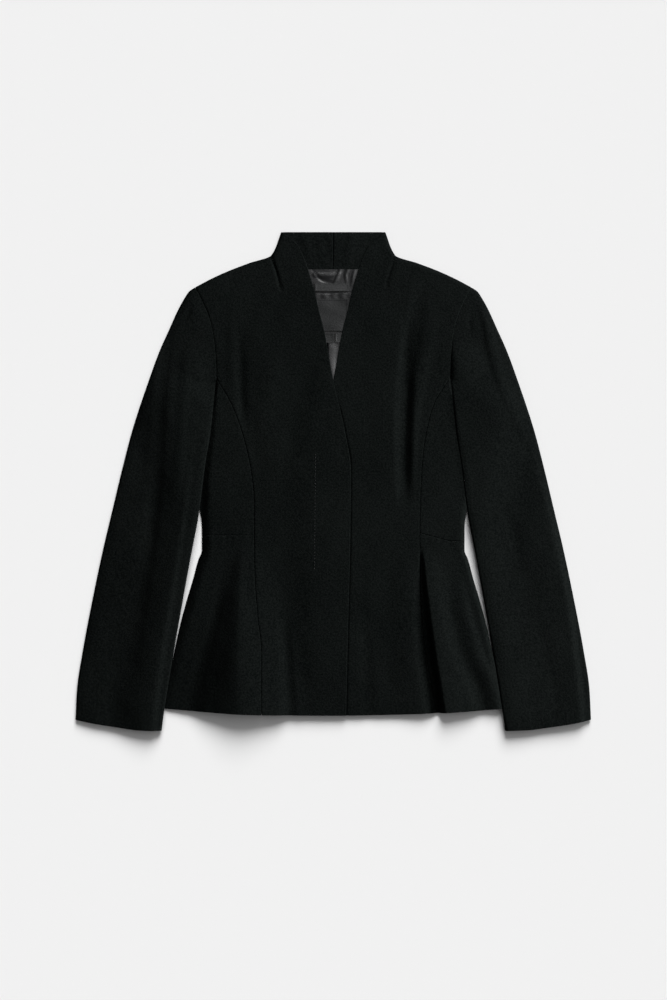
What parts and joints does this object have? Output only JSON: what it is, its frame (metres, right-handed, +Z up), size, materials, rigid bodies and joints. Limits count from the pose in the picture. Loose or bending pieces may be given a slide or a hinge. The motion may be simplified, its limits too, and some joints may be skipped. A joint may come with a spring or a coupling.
{
  "type": "peplum jacket",
  "caption": "Fitted wool peplum jacket with a grown-on stand collar, open neck and lapped front, laid flat with its front up.",
  "frame": {"origin": "centre of the laid-out jacket's bounding box, on the surface it lies on", "axes": "+Z up from the surface, towards the front of the jacket; +Y from the hem to the collar; the wearer's left is at +X"},
  "size_m": [0.6966, 0.674, 0.0175],
  "materials": {
    "wool": "black wool crepe, matt with a faint nap",
    "satin_lining": "charcoal satin with a soft sheen",
    "label_black": "blank black woven label",
    "label_tape": "blank grey woven tape"
  },
  "bodies": {
    "root": {"front_right": "wool", "side_front_right": "wool", "peplum_right": "wool", "back_right": "wool", "collar_back_right": "wool", "sleeve_top_right": "wool", "sleeve_under_right": "wool", "front_left": "wool", "side_front_left": "wool", "peplum_left": "wool", "back_left": "wool", "collar_back_left": "wool", "sleeve_top_left": "wool", "sleeve_under_left": "wool", "lining_back": "satin_lining", "label_banner": "label_tape", "label_main": "label_black", "label_size": "label_black", "label_care": "label_tape"}
  },
  "joints": []
}
